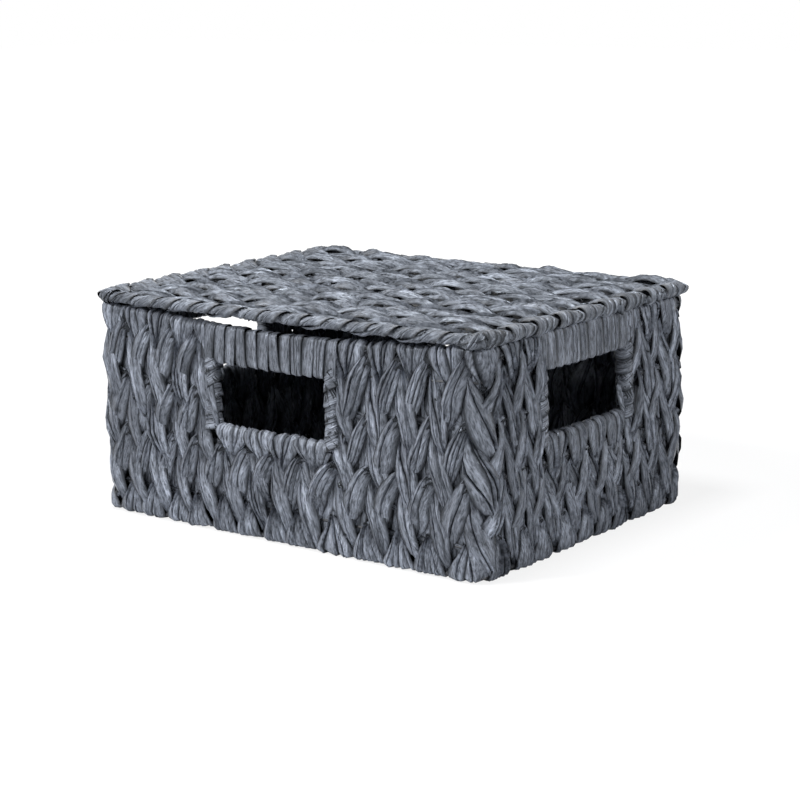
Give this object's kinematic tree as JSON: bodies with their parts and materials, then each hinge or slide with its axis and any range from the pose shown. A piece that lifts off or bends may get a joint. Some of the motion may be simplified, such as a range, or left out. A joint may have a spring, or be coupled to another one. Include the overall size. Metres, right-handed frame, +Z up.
{
  "type": "lidded storage basket",
  "caption": "Rectangular basket woven from flat raffia ribbon over a welded wire frame, with hand holes and a flat hinged lid.",
  "frame": {"origin": "on the floor, under the middle of the basket", "axes": "+X along the long walls to the right, +Y from the front wall to the hinged back wall, +Z up"},
  "size_m": [0.332, 0.252, 0.1585],
  "materials": {
    "wire": "dark grey coating, satin",
    "basket_ribbon": "pleated raffia ribbon, dark blue-grey, dull with a soft sheen",
    "lid_ribbon": "pleated raffia ribbon, dark blue-grey, dull with a soft sheen"
  },
  "bodies": {
    "basket": {"rim_wire": "wire", "hole_top_wire": "wire", "hole_bottom_wire": "wire", "row_wire_3": "wire", "row_wire_2": "wire", "row_wire_1": "wire", "base_ring_wire": "wire", "corner_post_front_left": "wire", "corner_post_front_right": "wire", "corner_post_back_right": "wire", "corner_post_back_left": "wire", "hole_post_front_low": "wire", "hole_post_front_high": "wire", "hole_post_right_low": "wire", "hole_post_right_high": "wire", "hole_post_back_low": "wire", "hole_post_back_high": "wire", "hole_post_left_low": "wire", "hole_post_left_high": "wire", "middle_row_front_left": "wire", "middle_row_front_right": "wire", "middle_row_back_right": "wire", "middle_row_back_left": "wire", "base_wire_1": "wire", "base_wire_2": "wire", "base_wire_3": "wire", "base_wire_4": "wire", "base_wire_5": "wire", "base_wire_6": "wire", "base_wire_7": "wire", "front_wall_weave": "basket_ribbon", "right_wall_weave": "basket_ribbon", "back_wall_weave": "basket_ribbon", "left_wall_weave": "basket_ribbon", "base_weave": "basket_ribbon", "handle_wrap_front": "basket_ribbon", "handle_wrap_right": "basket_ribbon", "handle_wrap_back": "basket_ribbon", "handle_wrap_left": "basket_ribbon"},
    "lid": {"lid_ring_wire": "wire", "lid_rib_1": "wire", "lid_rib_2": "wire", "lid_rib_3": "wire", "lid_rib_4": "wire", "lid_rib_5": "wire", "lid_rib_6": "wire", "lid_rib_7": "wire", "lid_rib_8": "wire", "lid_rib_9": "wire", "lid_rib_10": "wire", "lid_rib_11": "wire", "lid_rib_12": "wire", "lid_rib_13": "wire", "lid_rib_14": "wire", "lid_rib_15": "wire", "lid_weave": "lid_ribbon", "lid_edge_wrap_front": "lid_ribbon", "lid_edge_wrap_back": "lid_ribbon", "hinge_loop_left": "lid_ribbon", "hinge_loop_right": "lid_ribbon"}
  },
  "joints": [
    {"name": "lid_hinge", "type": "hinge", "parent": "basket", "child": "lid", "pos_m": [0, 0.1223, 0.1469], "axis": [-1, 0, 0], "range_deg": [0, 95]}
  ]
}
